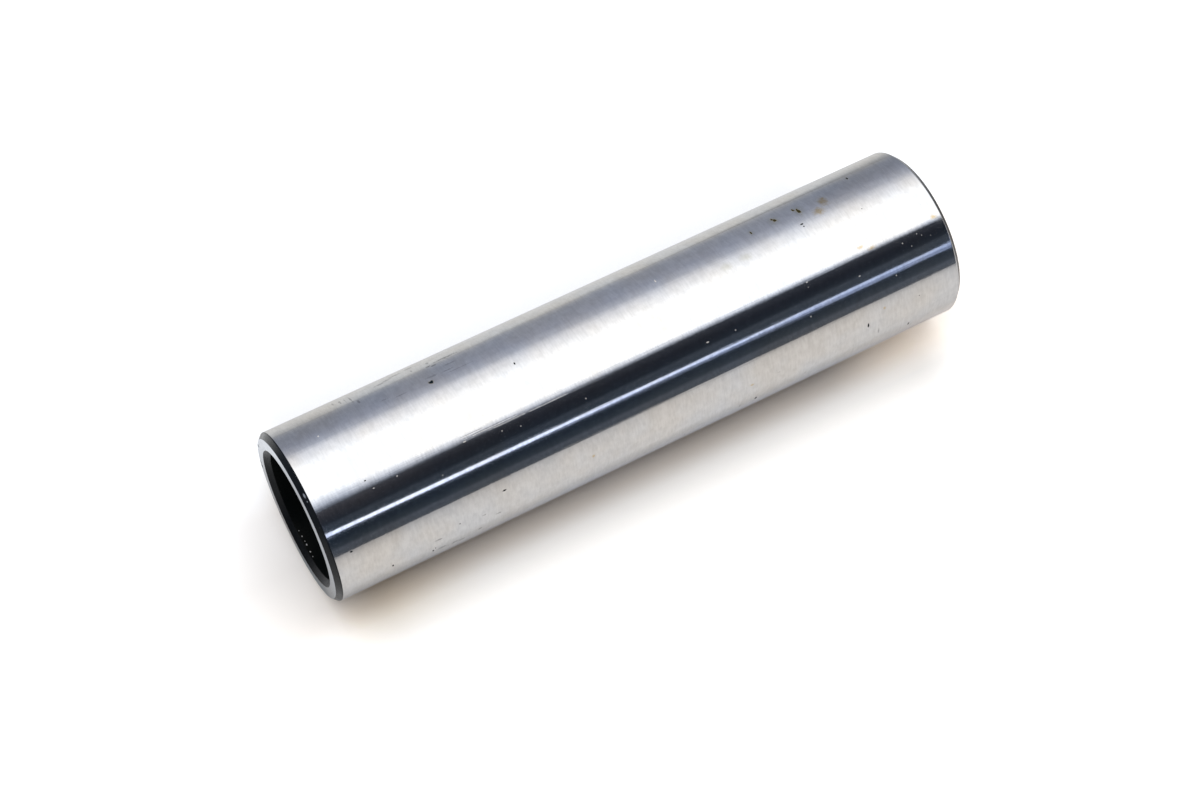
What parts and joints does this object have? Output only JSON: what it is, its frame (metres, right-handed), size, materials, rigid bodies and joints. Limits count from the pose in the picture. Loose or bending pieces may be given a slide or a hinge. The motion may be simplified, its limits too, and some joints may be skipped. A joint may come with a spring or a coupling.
{
  "type": "gudgeon pin",
  "caption": "Hollow ground-steel gudgeon pin: a plain tube with chamfered ends that joins a piston to the small end of its connecting rod.",
  "frame": {"origin": "centre of the lower end face, on the pin's axis", "axes": "+Z along the pin's axis; the pin stands on its lower end face"},
  "size_m": [0.02, 0.02, 0.079],
  "materials": {
    "ground_steel": "fine ground, hardened, with light stains"
  },
  "bodies": {
    "root": {"gudgeon_pin": "ground_steel"}
  },
  "joints": []
}
